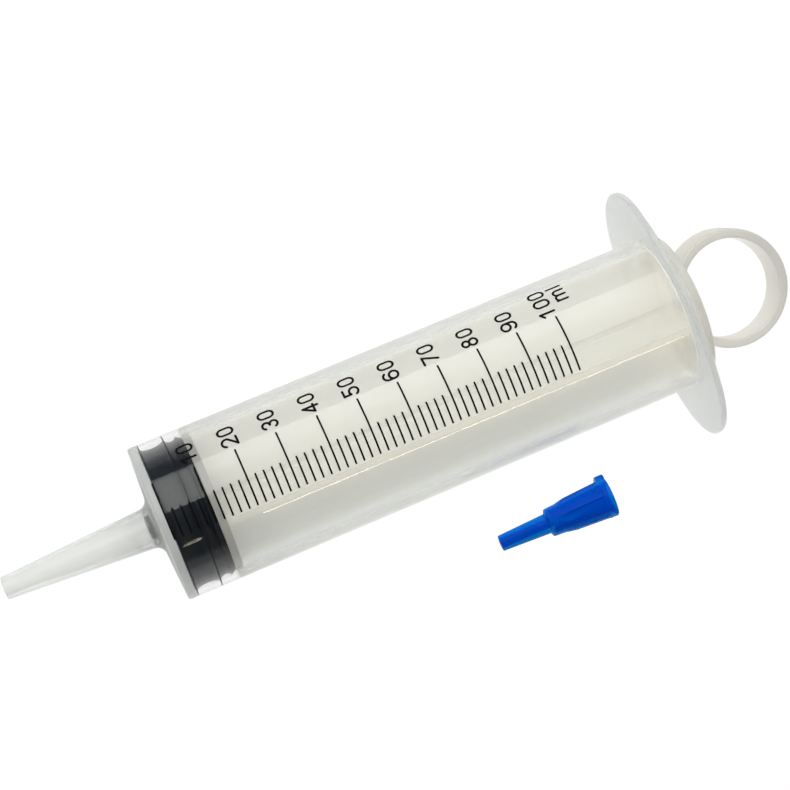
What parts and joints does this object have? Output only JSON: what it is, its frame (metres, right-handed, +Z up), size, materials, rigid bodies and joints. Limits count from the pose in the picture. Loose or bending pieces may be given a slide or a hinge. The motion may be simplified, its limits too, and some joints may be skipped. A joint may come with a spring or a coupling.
{
  "type": "catheter tip syringe",
  "caption": "Large clear hand syringe with a long tapered catheter tip, printed scale, oval finger flange, ring-ended plunger with a black rubber stopper, and a loose blue cone adapter.",
  "frame": {"origin": "centre of the catheter tip's mouth, on the syringe's axis", "axes": "+X runs along the syringe's axis from the tip to the thumb ring; +Z is up, through the middle of the printed scale; the finger flange's ears lie along Y"},
  "size_m": [0.2017, 0.0716, 0.0428],
  "materials": {
    "clear_plastic": "clear gloss",
    "ink": "matte",
    "stopper_rubber": "satin",
    "plunger_plastic": "clear gloss",
    "blue_plastic": "satin"
  },
  "bodies": {
    "barrel": {"barrel": "clear_plastic", "long_lines": "ink", "short_lines": "ink", "numerals": "ink", "unit_mark": "ink"},
    "stopper": {"stopper": "stopper_rubber"},
    "plunger": {"plunger": "plunger_plastic"},
    "adapter": {"adapter": "blue_plastic"}
  },
  "joints": [
    {"name": "stopper_slide", "type": "slide", "parent": "barrel", "child": "stopper", "axis": [1, 0, 0], "range_m": [0, 0.105]},
    {"name": "plunger_turn", "type": "hinge", "parent": "stopper", "child": "plunger", "pos_m": [0.1, 0, 0], "axis": [1, 0, 0], "continuous": true},
    {"name": "adapter_lift", "type": "slide", "parent": "barrel", "child": "adapter", "axis": [0, 0, 1], "range_m": [0, 0.06]}
  ]
}
